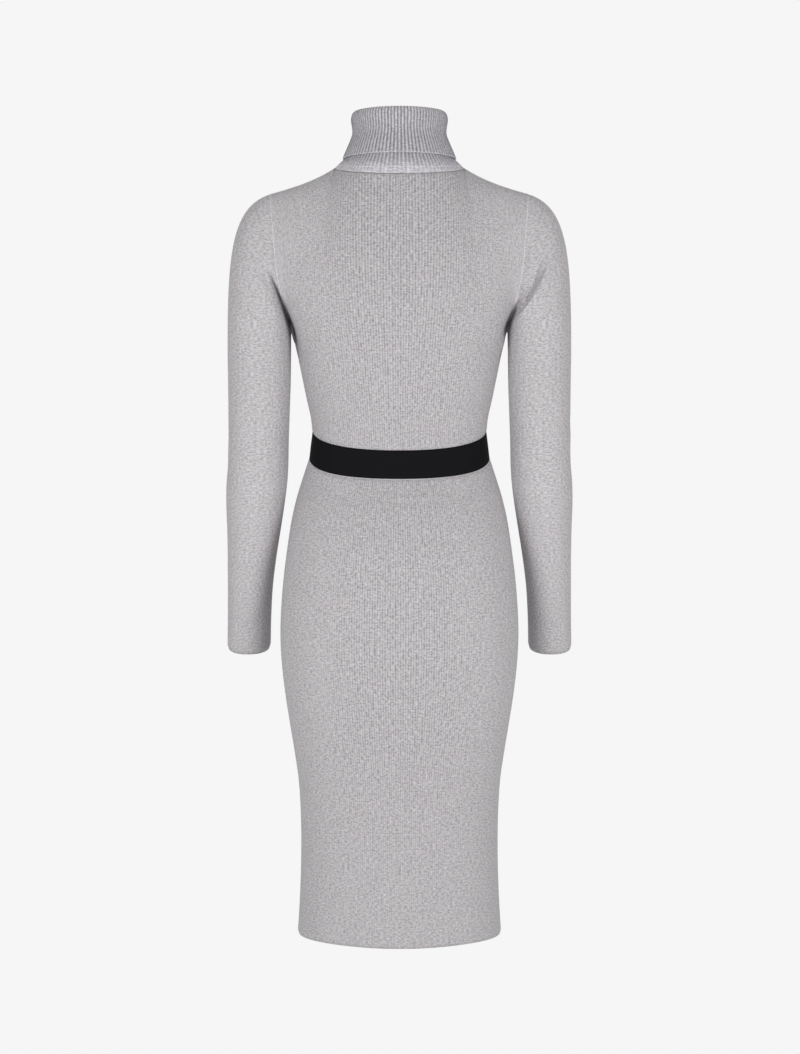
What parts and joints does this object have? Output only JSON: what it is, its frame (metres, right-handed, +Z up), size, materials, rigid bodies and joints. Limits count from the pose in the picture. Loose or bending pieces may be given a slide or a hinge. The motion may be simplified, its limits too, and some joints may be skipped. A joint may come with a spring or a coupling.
{
  "type": "sweater dress",
  "caption": "Fitted midi sweater dress in light grey rib knit, hollow as worn: turned-down roll neck, long set-in sleeves, inset black elastic waistband, plain hem.",
  "frame": {"origin": "centre of the neck base at the height of the shoulder line, where the wearer's shoulders carry the dress", "axes": "+Z up along the wearer, -Y towards the dress's front, +X towards the wearer's left"},
  "size_m": [0.5024, 0.256, 1.1786],
  "materials": {
    "knit": "fine rib knit, light grey melange, matte",
    "collar_rib": "coarser rib knit, light grey melange, matte",
    "elastic": "woven black elastic, matte"
  },
  "bodies": {
    "root": {"bodice_back": "knit", "bodice_front": "knit", "skirt_back": "knit", "skirt_front": "knit", "sleeve_left": "knit", "sleeve_right": "knit", "collar": "collar_rib", "waistband": "elastic"}
  },
  "joints": []
}
